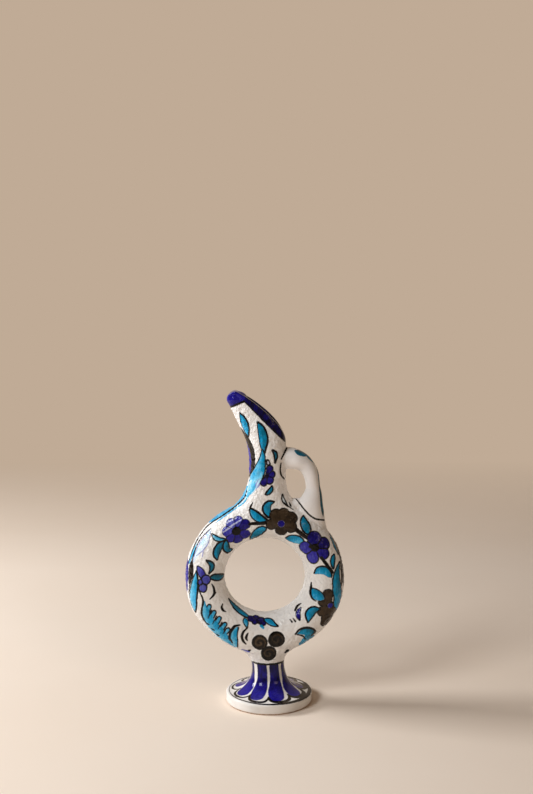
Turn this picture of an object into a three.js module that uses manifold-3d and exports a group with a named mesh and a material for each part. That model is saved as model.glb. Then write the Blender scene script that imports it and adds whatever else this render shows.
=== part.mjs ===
// A footed ring carafe in painted, glazed earthenware: a hollow ring stands upright on a
// pedestal foot, and a neck with a beak spout rises from its crown, with a loop handle behind.
// The clay pieces are formed apart and luted together with slip before the glaze firing.
// Millimetres, +Z up. The ring lies in the XZ plane, the beak points to -X, and the origin is on
// the table, below the centre of the ring.

import * as THREE from "three";
import { mergeVertices } from "three/addons/utils/BufferGeometryUtils.js";
import Module from "manifold-3d";

const wasm = await Module();
wasm.setup();

// Ring
const ringOuter = 50.2; // centre of the ring to its outer edge
const tubeRadius = 12.1;
const tubeSag = 1.9; // how much thicker the tube is at the bottom, where the clay settled
const ringBelly = 1.3; // how far the ring's underside is drawn in, where it was luted on the stem
const ringWall = 3.8;

// Pedestal foot
const plinthRadius = 27.6;
const plinthHeight = 6.5;
const plinthRound = 1; // worn lower edge of the plinth
const footShift = 2.2; // the foot was luted on a little off the ring's centre, towards the handle
const waistHeight = 23.7; // table to the narrowest place of the stem
const stemRadius = 10.4;
const stemDepth = 9.6; // half the stem's thickness where it cups the ring
const stemFillet = 11; // sweep from the stem into the underside of the ring
const footWall = 5;
const footRing = 7.5; // width of the unglazed ring that the foot stands on

// Neck and beak
const neckHalfWidth = 11.6;
const neckHalfDepth = 11;
const neckShift = 1.3; // the neck's middle, towards the handle
const neckWall = 3.6;
const shoulderFillet = 22; // sweep from the neck into the crown of the ring, under the handle
const frontFillet = 30; // and under the beak
const heelRise = 24.1; // top of the sweep under the handle to the back of the mouth
const beakRise = 32.3; // back of the mouth to the top of the beak
const beakBendRise = 12.7; // top of that sweep to where the beak starts to lean
const beakBendLength = 18;
const beakSlope = 0.49; // lean of the beak's front, sideways for each millimetre up
const beakTipDepth = 7.6; // half the beak's thickness at its top
const beakTipWall = 9; // solid clay in front of the channel at the tip
const beakTipRound = 6;
const mouthHeelHandle = 9.3; // how far the mouth's edge rises before it turns forward
const mouthTipHandle = 19; // how far it runs down from the tip before it turns
const mouthTipFall = THREE.MathUtils.degToRad(28);

// Handle
const handleReach = 17; // back of the neck to the middle of the grip
const handleThickness = 8.9; // of the grip, seen from the side of the carafe
const handleDepth = 10.6; // of the grip, front to back
const handleRootDrop = 10.5; // back of the mouth down to the middle of the upper root
const handleUpperRoot = 14.8; // thickness where it leaves the neck
const handleLowerRoot = 24; // thickness where it lands on the ring
const handleRootDepth = 13;
const handleLandingAngle = THREE.MathUtils.degToRad(47); // above the ring's centre, towards the handle
const handleWebReach = 6.6; // back of the neck to the middle of the clay smeared under the gap
const handleWebWidth = 14.4;
const handleWebDepth = 9.6;
const handleWebTop = 36; // back of the mouth down to the bottom of the gap
const handleWebHeight = 10.4;

// Slip in every luted joint
const slip = 0.3;

// Facets
const ringSteps = 48;
const tubeSides = 18;
const loftSides = 28;
const handleSides = 16;

// Worked out from the sizes above
const ringRadius = ringOuter - tubeRadius; // to the middle of the tube at the crown
const ringHeight =
  waistHeight +
  Math.sqrt((ringOuter - ringBelly + stemFillet) ** 2 - (stemRadius + stemFillet) ** 2);
const shoulderHeight =
  ringHeight +
  Math.sqrt((ringOuter + shoulderFillet) ** 2 - (neckHalfWidth + shoulderFillet) ** 2);
const frontHeight =
  ringHeight +
  Math.sqrt((ringOuter + frontFillet) ** 2 - (neckHalfWidth - neckShift + frontFillet) ** 2);
const heelHeight = shoulderHeight + heelRise;
const tipHeight = heelHeight + beakRise;
const neckBack = neckShift + neckHalfWidth;
const crownHeight = ringHeight + ringRadius; // middle of the tube at the ring's crown
const shoulderFoot =
  shoulderHeight - filletLength(shoulderFillet, shoulderHeight - ringHeight, ringOuter);
const cupTop =
  waistHeight + filletLength(stemFillet, ringHeight - waistHeight, ringOuter - ringBelly);
const beyond = 2 * tipHeight; // reach of a cutter that has to pass the whole carafe

// Solids and meshes

// A closed geometry as a solid that can be joined and cut.
function solidOf(geometry) {
  const bare = geometry.index ? geometry.toNonIndexed() : geometry.clone();
  bare.deleteAttribute("normal");
  bare.deleteAttribute("uv");
  const merged = mergeVertices(bare, 1e-4);
  return new wasm.Manifold(
    new wasm.Mesh({
      numProp: 3,
      vertProperties: new Float32Array(merged.attributes.position.array),
      triVerts: new Uint32Array(merged.index.array),
    }),
  );
}

// A solid as a named mesh with its own material.
function meshOf(name, solid, material) {
  const { vertProperties, triVerts } = solid.getMesh();
  const geometry = new THREE.BufferGeometry();
  geometry.setAttribute("position", new THREE.BufferAttribute(vertProperties, 3));
  geometry.setIndex(new THREE.BufferAttribute(triVerts, 1));
  geometry.computeVertexNormals();
  const mesh = new THREE.Mesh(geometry, material);
  mesh.name = name;
  return mesh;
}

// A closed skin over oval sections: each has a centre and two half axes, across and deep,
// whose cross product points along the run of sections. A run that ends where it began needs
// no end faces.
function loft(sections, sides, endless = false) {
  const positions = [];
  const faces = [];
  for (const { centre, across, deep } of sections) {
    for (let side = 0; side < sides; side += 1) {
      const angle = (2 * Math.PI * side) / sides;
      const point = centre
        .clone()
        .addScaledVector(across, Math.cos(angle))
        .addScaledVector(deep, Math.sin(angle));
      positions.push(point.x, point.y, point.z);
    }
  }
  const rows = sections.length;
  for (let row = 0; row + 1 < rows + Number(endless); row += 1) {
    const above = ((row + 1) % rows) * sides;
    for (let side = 0; side < sides; side += 1) {
      const next = (side + 1) % sides;
      const [a, b] = [row * sides + side, row * sides + next];
      faces.push(a, b, above + next, a, above + next, above + side);
    }
  }
  const last = (rows - 1) * sides;
  for (let side = 1; side + 1 < sides && !endless; side += 1) {
    faces.push(0, side + 1, side);
    faces.push(last, last + side, last + side + 1);
  }
  const geometry = new THREE.BufferGeometry();
  geometry.setAttribute("position", new THREE.Float32BufferAttribute(positions, 3));
  geometry.setIndex(faces);
  return solidOf(geometry);
}

// A level oval section from its left and right ends and its half depth.
function levelSection(height, left, right, halfDepth) {
  return {
    centre: new THREE.Vector3((left + right) / 2, 0, height),
    across: new THREE.Vector3((right - left) / 2, 0, 0),
    deep: new THREE.Vector3(0, halfDepth, 0),
  };
}

// Evenly spaced values from first to last.
function spread(first, last, count) {
  return Array.from({ length: count }, (_, i) => first + ((last - first) * i) / (count - 1));
}

// How far along its wall a fillet runs before it touches the ring; rise is the way from the
// ring's centre to the fillet's own, and outer is the ring's own radius there.
function filletLength(radius, rise, outer) {
  return (radius * rise) / (outer + radius);
}

// How far a round fillet stands out from the wall it starts on, a given way along it.
function filletReach(radius, along) {
  const inside = THREE.MathUtils.clamp(along, 0, radius);
  return radius - Math.sqrt(radius ** 2 - inside ** 2);
}

// Ring

// How far the outer edge is drawn in, a given turn round the ring from the side of the handle.
function bellyAt(turn) {
  return ringBelly * THREE.MathUtils.smoothstep(-Math.sin(turn), 0.3, 0.85);
}

// The tube's own radius at that turn. The edge of the hole stays where it is.
function tubeAt(turn) {
  return tubeRadius + tubeSag * ((1 - Math.sin(turn)) / 2) ** 2 - bellyAt(turn) / 2;
}

// The whole ring, its tube grown by a margin; a negative margin gives its hollow.
function ringSolid(margin) {
  const sections = Array.from({ length: ringSteps }, (_, step) => {
    const turn = (2 * Math.PI * step) / ringSteps;
    const outward = new THREE.Vector3(Math.cos(turn), 0, Math.sin(turn));
    const radius = tubeAt(turn);
    const reach = ringOuter - bellyAt(turn) - radius;
    return {
      centre: outward.clone().multiplyScalar(reach).setZ(ringHeight + outward.z * reach),
      across: outward.clone().multiplyScalar(radius + margin),
      deep: new THREE.Vector3(0, radius + margin, 0),
    };
  });
  return loft(sections, tubeSides, true);
}

// One half of the ring, pressed in a mould and open on the seam: side is -1 at the front.
function ringShell(side, bore) {
  const half = new THREE.BoxGeometry(beyond, beyond, beyond);
  half.translate(0, (side * (beyond + slip)) / 2, ringHeight);
  return ringSolid(0).subtract(ringSolid(-ringWall)).subtract(bore).intersect(solidOf(half));
}

// Pedestal foot

// Where the foot's middle lies at a height: over its own axis at the table, under the ring above.
function footMiddle(height) {
  const risen = THREE.MathUtils.smoothstep(height, waistHeight / 2, waistHeight + stemFillet * 2);
  return footShift * (1 - risen);
}

// The bell of the foot, in round sections drawn in by a margin, from the top of the plinth
// to the waist: a hollow curve whose tangent is level at the plinth and upright at the waist.
function bellSections(margin, count) {
  const spreadOut = plinthRadius - stemRadius;
  return spread(0, Math.PI / 2, count).map((turn) => {
    const height = plinthHeight + (waistHeight - plinthHeight) * (1 - Math.cos(turn));
    const radius = stemRadius + spreadOut * (1 - Math.sin(turn)) ** 1.25 - margin;
    const middle = footMiddle(height);
    return levelSection(height, middle - radius, middle + radius, radius);
  });
}

// The stem above the waist sweeps out along the ring and cups its underside.
function cupSections(count) {
  const swept = spread(waistHeight, cupTop, count).map((height) => {
    const half = stemRadius + filletReach(stemFillet, height - waistHeight);
    const middle = footMiddle(height);
    const risen = (height - waistHeight) / (cupTop - waistHeight);
    const depth = THREE.MathUtils.lerp(stemRadius, stemDepth, risen);
    return levelSection(height, middle - half, middle + half, depth);
  });
  const buried = { ...swept.at(-1), centre: swept.at(-1).centre.clone() };
  buried.centre.z = ringHeight - ringRadius;
  return [...swept, buried];
}

function pedestalFoot() {
  const round = (radius, height) =>
    levelSection(height, footShift - radius, footShift + radius, radius);
  const bellSteps = 9;
  const cupSteps = 6;
  const outside = loft(
    [
      round(plinthRadius - plinthRound, 0),
      round(plinthRadius, plinthRound),
      round(plinthRadius, plinthHeight - plinthRound / 2),
      ...bellSections(0, bellSteps),
      ...cupSections(cupSteps).slice(1),
    ],
    loftSides,
  );
  const hollowTop = waistHeight - footWall;
  const hollowRadius = plinthRadius - footRing;
  const hollowTopRadius = stemRadius - footWall;
  const hollow = loft(
    spread(-slip, hollowTop, 6).map((height) => {
      const risen = Math.max(0, height) / hollowTop;
      const radius = hollowTopRadius + (hollowRadius - hollowTopRadius) * (1 - risen) ** 1.6;
      const middle = footMiddle(height);
      return levelSection(height, middle - radius, middle + radius, radius);
    }),
    loftSides,
  );
  return outside.subtract(hollow).subtract(ringSolid(slip));
}

// Neck and beak

// How far the front of the beak leans forward of the neck at a height.
function beakLean(height) {
  const start = shoulderHeight + beakBendRise;
  const bend = THREE.MathUtils.clamp(height - start, 0, beakBendLength);
  const straight = Math.max(0, height - start - beakBendLength);
  return beakSlope * (bend ** 2 / (2 * beakBendLength) + straight);
}

// The left end, right end and half depth of the neck at a height, before the mouth is cut.
function neckSpan(height) {
  const front = filletReach(frontFillet, frontHeight - height);
  const back = filletReach(shoulderFillet, shoulderHeight - height);
  const thinning = THREE.MathUtils.smoothstep(height, heelHeight, tipHeight);
  return {
    left: neckShift - neckHalfWidth - front - beakLean(height),
    right: neckBack + back,
    depth: THREE.MathUtils.lerp(neckHalfDepth, beakTipDepth, thinning),
  };
}

// The neck as a full form grown by a margin, from inside the ring's tube to above the beak.
function neckOutside(margin) {
  const heights = [
    ...spread(shoulderFoot, shoulderHeight, 9),
    ...spread(shoulderHeight, heelHeight, 6).slice(1),
    ...spread(heelHeight, tipHeight + beakTipRound, 8).slice(1),
  ];
  const sections = heights.map((height) => {
    const { left, right, depth } = neckSpan(height);
    return levelSection(height, left - margin, right + margin, depth + margin);
  });
  const buried = { ...sections[0], centre: sections[0].centre.clone() };
  buried.centre.z = crownHeight;
  return loft([buried, ...sections], loftSides);
}

// The way for the wine: straight up from the ring's hollow, then along the beak.
function neckBore() {
  const heights = [
    ...spread(crownHeight, shoulderHeight, 4),
    ...spread(shoulderHeight, heelHeight, 6).slice(1),
    ...spread(heelHeight, tipHeight + beakTipRound, 8).slice(1),
  ];
  const sections = heights.map((height) => {
    const { left, right, depth } = neckSpan(Math.max(height, shoulderHeight));
    const thickening = THREE.MathUtils.smoothstep(height, heelHeight, tipHeight);
    const front = THREE.MathUtils.lerp(neckWall, beakTipWall, thickening);
    return levelSection(height, left + front, right - neckWall, depth - neckWall);
  });
  return loft(sections, loftSides);
}

// Everything above the edge of the mouth, which climbs from its heel at the back to the tip.
function aboveMouth() {
  const roundHeight = tipHeight - beakTipRound;
  const tip = neckSpan(roundHeight).left;
  const top = new THREE.Vector2(tip + beakTipRound, tipHeight);
  const edge = new THREE.Shape();
  edge.moveTo(neckBack, heelHeight);
  edge.bezierCurveTo(
    neckBack,
    heelHeight + mouthHeelHandle,
    top.x + mouthTipHandle * Math.cos(mouthTipFall),
    top.y - mouthTipHandle * Math.sin(mouthTipFall),
    top.x,
    top.y,
  );
  edge.absarc(top.x, roundHeight, beakTipRound, Math.PI / 2, Math.PI, false);
  edge.lineTo(-beyond, roundHeight);
  edge.lineTo(-beyond, beyond);
  edge.lineTo(beyond, beyond);
  edge.lineTo(beyond, heelHeight);
  const block = new THREE.ExtrudeGeometry(edge, {
    depth: beyond,
    bevelEnabled: false,
    curveSegments: 10,
  });
  block.rotateX(Math.PI / 2);
  block.translate(0, beyond / 2, 0);
  return solidOf(block);
}

function neckSpout(bore) {
  return neckOutside(0).subtract(bore).subtract(aboveMouth()).subtract(ringSolid(slip));
}

// Handle

// The loop leaves the neck under the mouth's heel, turns down at the grip and lands on the ring.
function loopHandle() {
  const rootHeight = heelHeight - handleRootDrop;
  const gripX = neckBack + handleReach;
  const landing = new THREE.Vector3(
    ringRadius * Math.cos(handleLandingAngle),
    0,
    ringHeight + ringRadius * Math.sin(handleLandingAngle),
  );
  const surface = ringHeight + ringOuter * Math.sin(handleLandingAngle);
  const gripHeight = (rootHeight + surface) / 2 + handleThickness / 4;
  const path = new THREE.CatmullRomCurve3([
    new THREE.Vector3(neckBack - neckWall, 0, rootHeight),
    new THREE.Vector3(neckBack + handleReach / 4, 0, rootHeight),
    new THREE.Vector3(gripX - handleReach / 5, 0, (rootHeight * 3 + gripHeight) / 4),
    new THREE.Vector3(gripX, 0, gripHeight),
    new THREE.Vector3((gripX + landing.x * 2) / 3, 0, (surface * 2 + gripHeight) / 3),
    landing,
  ]);
  const steps = 18;
  const sections = spread(0, 1, steps).map((t) => {
    const along = path.getTangentAt(t);
    const across = new THREE.Vector3(along.z, 0, -along.x);
    const upper = 1 - THREE.MathUtils.smoothstep(t, 0, 0.45);
    const lower = THREE.MathUtils.smoothstep(t, 0.48, 0.9);
    const thickness =
      handleThickness +
      (handleUpperRoot - handleThickness) * upper +
      (handleLowerRoot - handleThickness) * lower;
    const depth = handleDepth + (handleRootDepth - handleDepth) * Math.max(upper, lower);
    return {
      centre: path.getPointAt(t),
      across: across.clone().multiplyScalar(thickness / 2),
      deep: new THREE.Vector3().crossVectors(along, across).multiplyScalar(depth / 2),
    };
  });
  const web = new THREE.SphereGeometry(1, handleSides, handleSides / 2);
  web.scale(handleWebWidth / 2, handleWebDepth / 2, handleWebHeight / 2);
  web.translate(neckBack + handleWebReach, 0, heelHeight - handleWebTop - handleWebHeight / 2);
  return loft(sections, handleSides)
    .add(solidOf(web))
    .subtract(neckOutside(slip))
    .subtract(ringSolid(slip));
}

// Assembly

const glaze = (colour) =>
  new THREE.MeshStandardMaterial({ color: colour, roughness: 0.16, metalness: 0 });
const bore = neckBore();

const carafe = new THREE.Group();
carafe.name = "ring_carafe";
carafe.add(
  meshOf("pedestal_foot", pedestalFoot(), glaze(0x2c2a8c)),
  meshOf("ring_front_shell", ringShell(-1, bore), glaze(0xe9e4da)),
  meshOf("ring_back_shell", ringShell(1, bore), glaze(0xe9e4da)),
  meshOf("neck_spout", neckSpout(bore), glaze(0xe9e4da)),
  meshOf("handle", loopHandle(), glaze(0xe6e2dc)),
);

export default carafe;
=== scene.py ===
# %% [markdown]
# # A ring carafe
# A ring carafe is a painted earthenware jug. Its body is an upright hollow ring on a small foot,
# with a beak for a spout and one loop handle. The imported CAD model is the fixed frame: it gives the
# size and the place of every piece, and this lesson models the looks around it, in metres.

# %% Load the frame
import math

import bpy
import numpy as np
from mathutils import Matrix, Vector
from mathutils.bvhtree import BVHTree


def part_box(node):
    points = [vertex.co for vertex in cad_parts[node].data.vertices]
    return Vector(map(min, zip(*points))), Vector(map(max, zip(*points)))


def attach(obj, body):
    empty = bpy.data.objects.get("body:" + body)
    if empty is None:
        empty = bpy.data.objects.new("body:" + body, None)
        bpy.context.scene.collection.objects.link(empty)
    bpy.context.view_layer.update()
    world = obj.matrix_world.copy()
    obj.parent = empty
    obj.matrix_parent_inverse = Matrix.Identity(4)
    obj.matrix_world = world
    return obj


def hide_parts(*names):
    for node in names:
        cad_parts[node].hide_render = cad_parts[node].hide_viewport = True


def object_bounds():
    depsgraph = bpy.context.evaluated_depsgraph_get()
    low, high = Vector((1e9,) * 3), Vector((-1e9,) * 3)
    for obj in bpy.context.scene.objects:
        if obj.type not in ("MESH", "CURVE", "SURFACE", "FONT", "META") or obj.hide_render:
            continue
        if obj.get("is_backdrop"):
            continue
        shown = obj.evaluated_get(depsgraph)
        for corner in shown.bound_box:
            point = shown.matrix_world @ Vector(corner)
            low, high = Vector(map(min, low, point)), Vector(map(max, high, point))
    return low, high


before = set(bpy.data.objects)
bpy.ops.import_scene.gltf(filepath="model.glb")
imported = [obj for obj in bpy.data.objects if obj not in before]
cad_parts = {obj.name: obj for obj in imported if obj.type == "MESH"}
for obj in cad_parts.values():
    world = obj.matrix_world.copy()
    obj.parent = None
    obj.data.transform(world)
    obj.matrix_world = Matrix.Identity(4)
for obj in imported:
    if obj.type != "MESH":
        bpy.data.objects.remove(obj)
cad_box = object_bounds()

mm = 0.001


def in_mm(lengths):
    """Lengths in metres as rounded millimetres, for printing."""
    return [round(v / mm, 1) for v in lengths]


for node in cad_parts:
    low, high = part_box(node)
    print(node, in_mm(low), in_mm(high))

# %% [markdown]
# ## Camera, floor and light
# The carafe was photographed from a little above the top of its beak with a normal 50 mm lens. The
# floor is a plain pale sheet that sweeps up behind the pot, as in a product studio. One soft lamp
# stands at the left, a little behind the pot, and throws its shadow to the right. A second one lights
# the front from the left, a weak warm one fills from the right, and a dim world does the rest.

# %% Camera
eye = Vector((0.6, -687, 268)) * mm
bpy.ops.object.camera_add(location=eye, rotation=(math.radians(84), 0, 0))
camera = bpy.context.object
camera.data.lens, camera.data.sensor_width = 50, 36
bpy.context.scene.camera = camera
bpy.context.scene.view_settings.view_transform = "Standard"
print("camera", [round(v, 3) for v in camera.location], camera.data.lens, "mm")


# %% Helpers for modelling
def begin(name, add, **settings):
    """Adds a primitive with nothing else selected, and names it."""
    bpy.ops.object.select_all(action="DESELECT")
    add(**settings)
    bpy.context.object.name = name
    return bpy.context.object


def pick(piece):
    """Selects one object alone and makes it the active one."""
    bpy.ops.object.select_all(action="DESELECT")
    piece.select_set(True)
    bpy.context.view_layer.objects.active = piece


def modify(piece, kind, **settings):
    """Adds a modifier to a piece, sets it and applies it."""
    pick(piece)
    bpy.ops.object.modifier_add(type=kind)
    modifier = piece.modifiers[-1]
    for setting, value in settings.items():
        setattr(modifier, setting, value)
    bpy.ops.object.modifier_apply(modifier=modifier.name)


# %% Floor sweep
floor_size, floor_middle, wall_height, cove = 6, -1.2, 3, 0.9
floor_back = floor_middle + floor_size / 2
sweep = begin("floor_sweep", bpy.ops.mesh.primitive_plane_add, size=floor_size, location=(0, floor_middle, 0))
bpy.ops.object.transform_apply(location=True)
bpy.ops.object.mode_set(mode="EDIT")
bpy.ops.mesh.select_mode(type="EDGE")
bpy.ops.mesh.select_all(action="DESELECT")


def take_back_edge():
    """Selects the floor's back edge alone and opens edit mode on it."""
    bpy.ops.object.mode_set(mode="OBJECT")
    for side in sweep.data.edges:
        ends = [sweep.data.vertices[v].co for v in side.vertices]
        side.select = all(abs(end.y - floor_back) < 0.01 and end.z < 0.01 for end in ends)
    bpy.ops.object.mode_set(mode="EDIT")


take_back_edge()
bpy.ops.mesh.extrude_region_move(TRANSFORM_OT_translate={"value": (0, 0, wall_height)})
take_back_edge()
bpy.ops.mesh.bevel(offset=cove, segments=16)
bpy.ops.object.mode_set(mode="OBJECT")
bpy.ops.object.shade_smooth()
sweep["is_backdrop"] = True
print("floor sweep", len(sweep.data.polygons), "faces")


# %% Lamps
pot_middle = Vector((0, 0, 0.1))


def soft_lamp(name, place, size, power, tint):
    """A square lamp that looks at the middle of the pot."""
    bpy.ops.object.light_add(type="AREA", location=place)
    lamp = bpy.context.object
    lamp.name = name
    lamp.data.size, lamp.data.energy, lamp.data.color = size, power, tint
    aim = pot_middle - Vector(place)
    lamp.rotation_euler = aim.to_track_quat("-Z", "Y").to_euler()


soft_lamp("window_lamp", (-1.1, 0.16, 0.7), 0.4, 14, (0.97, 0.98, 1.0))
soft_lamp("front_lamp", (-0.75, -0.62, 0.78), 0.37, 6.6, (0.94, 0.97, 1.0))
soft_lamp("fill_lamp", (1.1, -1.2, 0.9), 0.5, 2.3, (1.0, 0.72, 0.5))
world = bpy.data.worlds.new("pale_room")
bpy.context.scene.world = world
world.use_nodes = True
dim_light = world.node_tree.nodes["Background"]
dim_light.inputs["Color"].default_value = (1.0, 0.8, 0.62, 1)
dim_light.inputs["Strength"].default_value = 0.1

# %% [markdown]
# ## The ring
# The potter presses the hollow ring in a mould. A torus primitive has that form. The real tube is a
# little thicker at the bottom, where the clay sagged, and its underside is drawn in towards the
# stem, so each point of the torus is moved by its place round the ring. Sizes are in millimetres.

# %% Ring sizes
ring_outer, tube, tube_sag, ring_belly, ring_wall = 50.2, 12.1, 1.9, 1.3, 3.8
ring_lump, ring_swell, swell_turn = 0.35, 0.6, math.radians(145)
belly_start, belly_full = 0.3, 0.85  # how far down the ring, as a share of its radius
waist, stem, cup_round = 23.7, 10.4, 11.0
ring_height = waist + math.sqrt((ring_outer - ring_belly + cup_round) ** 2 - (stem + cup_round) ** 2)


def between(a, b, share):
    """The value at this share of the way from a to b."""
    return a + (b - a) * share


def ease(value, start, end):
    """0 before start, 1 after end, smooth between."""
    share = min(1, max(0, (value - start) / (end - start)))
    return share * share * (3 - 2 * share)


def belly_at(turn):
    """How far the underside of the ring is drawn in at a turn round it."""
    return ring_belly * ease(-math.sin(turn), belly_start, belly_full)


def tube_at(turn):
    """Radius of the tube at a turn round the ring, thicker at the bottom."""
    return tube + tube_sag * ((1 - math.sin(turn)) / 2) ** 2 - belly_at(turn) / 2


def lump_at(turn):
    """The pressed ring isn't a true circle: it swells a little towards its upper left."""
    return ring_lump + ring_swell * math.cos(turn - swell_turn)


# %% Ring
def ring_solid(name, thinner, steps=192, sides=72):
    """The ring's tube, thinner by a wall all round, standing upright."""
    middle = ring_outer - tube
    solid = begin(
        name, bpy.ops.mesh.primitive_torus_add, major_segments=steps, minor_segments=sides,
        major_radius=middle * mm, minor_radius=tube * mm, rotation=(math.pi / 2, 0, 0),
    )
    bpy.ops.object.transform_apply(rotation=True)
    for point in solid.data.vertices:
        x, y, z = point.co / mm
        turn = math.atan2(z, x)
        swell = (tube_at(turn) - thinner) / tube
        reach = ring_outer + lump_at(turn) - belly_at(turn) - tube_at(turn)
        reach += (math.hypot(x, z) - middle) * swell
        point.co = Vector((reach * math.cos(turn), y * swell, ring_height + reach * math.sin(turn))) * mm
    return solid


ring = ring_solid("ring", 0)
ring_hollow = ring_solid("ring_hollow", ring_wall, 96, 36)
print("ring", in_mm(ring.dimensions), "mm, middle at", round(ring_height, 1))


# %% [markdown]
# ## Foot
# The foot was thrown on a wheel: a plinth, a bell and a stem that opens into a cup under the ring.
# A filled circle is extruded upwards step by step, and each new top is scaled to the width of the
# real foot at that height. The cup meets the ring where their curves touch.

# %% Loft helper
def close_up():
    """Turns every face of the solid in edit mode outwards and leaves edit mode."""
    bpy.ops.mesh.select_all(action="SELECT")
    bpy.ops.mesh.normals_make_consistent(inside=False)
    bpy.ops.object.mode_set(mode="OBJECT")


def loft(name, sections, sides=72):
    """A solid grown from a filled circle. Each section is (height, left, right, half depth) in mm."""
    solid = begin(
        name, bpy.ops.mesh.primitive_circle_add,
        vertices=sides, radius=mm, fill_type="NGON", enter_editmode=True,
    )
    old = (0.0, -1.0, 1.0, 1.0)
    for count, section in enumerate(sections):
        height, left, right, depth = section
        step = ((left + right - old[1] - old[2]) / 2 * mm, 0, (height - old[0]) * mm)
        if count:
            bpy.ops.mesh.extrude_region_move(TRANSFORM_OT_translate={"value": step})
        else:
            bpy.ops.transform.translate(value=step)
        grow = ((right - left) / (old[2] - old[1]), depth / old[3], 1)
        bpy.ops.transform.resize(value=grow, center_override=((left + right) / 2 * mm, 0, height * mm))
        old = section
    close_up()
    print(name, len(solid.data.polygons), "faces", in_mm(solid.dimensions))
    return solid


# %% Foot
plinth, plinth_height, plinth_edge, bell_curve = 27.6, 6.5, 0.8, 1.25
foot_shift, stem_depth, cup_depth = 2.2, 9.6, 12.9


def fillet(radius, climb):
    """How far a fillet has swung out after climbing that far from its straight end."""
    return radius - math.sqrt(max(0, radius * radius - climb * climb))


def foot_middle(height):
    """The foot leans over to the ring's own middle as it rises."""
    return foot_shift * (1 - ease(height, waist / 2, waist + 2 * cup_round))


def foot_section(height, half, deep):
    """A section of the foot for the loft, on its leaning middle."""
    return height, foot_middle(height) - half, foot_middle(height) + half, deep


def foot_bell(share):
    """(height, radius) on the bell: share 0 at the plinth's edge, 1 at the waist."""
    t = share * math.pi / 2
    height = plinth_height + (waist - plinth_height) * (1 - math.cos(t))
    return height, stem + (plinth - stem) * (1 - math.sin(t)) ** bell_curve


foot_rows = [(0, plinth - plinth_edge), (plinth_edge, plinth), (plinth_height - plinth_edge, plinth)]
foot_rows += [foot_bell(share) for share in np.linspace(0.01, 1, 24)]
foot_sections = [
    foot_section(h, r, between(r, stem_depth, ease(h, plinth_height, waist))) for h, r in foot_rows
]
cup_climb = cup_round * (ring_height - waist) / (ring_outer - ring_belly + cup_round)
cup_end = ring_height - ring_outer + tube
cup_top = cup_end + 1.5
cup_heights = [
    *np.linspace(waist + 1, waist + cup_climb, 10), *np.linspace(waist + cup_climb + 1.5, cup_end, 5),
]
for h in cup_heights:
    half = stem + fillet(cup_round, min(h - waist, cup_climb))
    foot_sections.append(foot_section(h, half, between(stem_depth, cup_depth, ease(h, waist, cup_top))))
foot_sections.append((cup_top, -9, 9, 8))  # its end, inside the ring's tube
foot = loft("foot", foot_sections)

# %% Foot recess
foot_wall, foot_ring, recess_curve, recess_cap = 5.0, 7.5, 1.6, 0.1
recess_foot, recess_stem, recess_top = plinth - foot_ring, stem - foot_wall, waist - foot_wall
recess_sections = [foot_section(-2, recess_foot, recess_foot)]
for h in np.linspace(0, recess_top - recess_cap, 12):
    r = between(recess_stem, recess_foot, (1 - h / recess_top) ** recess_curve)
    recess_sections.append(foot_section(h, r, r))
recess = loft("foot_recess", recess_sections)

# %% [markdown]
# ## Neck and beak
# The neck rises from a wide shoulder on the ring and leans over into a beak. It is lofted in the
# same way. The mouth is a slanted cut, made with a block whose underside has the line of the lip,
# and a thinner loft takes out the bore.

# %% Neck
neck_half, neck_depth, neck_shift, neck_wall = 11.6, 11.0, 1.3, 3.6
front_round, back_round = 30.0, 22.0
tip_depth, tip_wall, tip_round = 7.6, 9.0, 6.0
neck_back = neck_shift + neck_half


def sweep_top(radius, half):
    """Height where a sweep of this radius, from the ring's crown, runs into the neck's side."""
    return ring_height + math.sqrt((ring_outer + radius) ** 2 - (half + radius) ** 2)


shoulder = sweep_top(back_round, neck_half)
front_shoulder = sweep_top(front_round, neck_half - neck_shift)
heel, beak_top = shoulder + 24.1, shoulder + 56.4
lean_start, lean_bend, lean_slope = shoulder + 12.7, 18.0, 0.49
shoulder_foot = shoulder - back_round * (shoulder - ring_height) / (ring_outer + back_round)


def neck_span(height):
    """(left, right, half depth) of the neck at a height."""
    front = fillet(front_round, max(0, front_shoulder - height))
    back = fillet(back_round, max(0, shoulder - height))
    rise = max(0, height - lean_start)
    bend = min(lean_bend, rise)
    lean = lean_slope * (bend * bend / (2 * lean_bend) + rise - bend)
    depth = between(neck_depth, tip_depth, ease(height, heel, beak_top))
    return neck_shift - neck_half - front - lean, neck_back + back, depth


neck_sections = [(shoulder_foot - 8, -16, 18, 9)]  # its end, inside the ring's tube
for h in np.linspace(shoulder_foot, beak_top + 1, 48):
    neck_sections.append((h, *neck_span(h)))
neck = loft("neck", neck_sections)

# %% Bore
bore_sections = []
for h in np.linspace(ring_height + ring_outer - tube, beak_top + 2, 40):
    left, right, depth = neck_span(max(h, front_shoulder))
    front_wall = between(neck_wall, tip_wall, ease(h, heel, beak_top))
    bore_sections.append((h, left + front_wall, right - neck_wall, depth - neck_wall))
bore = loft("bore", bore_sections)


# %% Helpers for cutting
def boolean(piece, operation, *others):
    """Joins, cuts or keeps piece with the other solids, which are used up."""
    for other in others:
        modify(piece, "BOOLEAN", operation=operation, object=other, solver="MANIFOLD")
        bpy.data.objects.remove(other)


def prism(name, outline, deep):
    """A block with this outline, (x, z) in mm, from -deep to deep across the pot."""
    solid = begin(
        name, bpy.ops.mesh.primitive_circle_add, vertices=len(outline), radius=mm, fill_type="NGON",
    )
    for point, (x, z) in zip(solid.data.vertices, outline):
        point.co = Vector((x, -deep, z)) * mm
    bpy.ops.object.mode_set(mode="EDIT")
    bpy.ops.mesh.select_all(action="SELECT")
    bpy.ops.mesh.extrude_region_move(TRANSFORM_OT_translate={"value": (0, 2 * deep * mm, 0)})
    close_up()
    return solid


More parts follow.
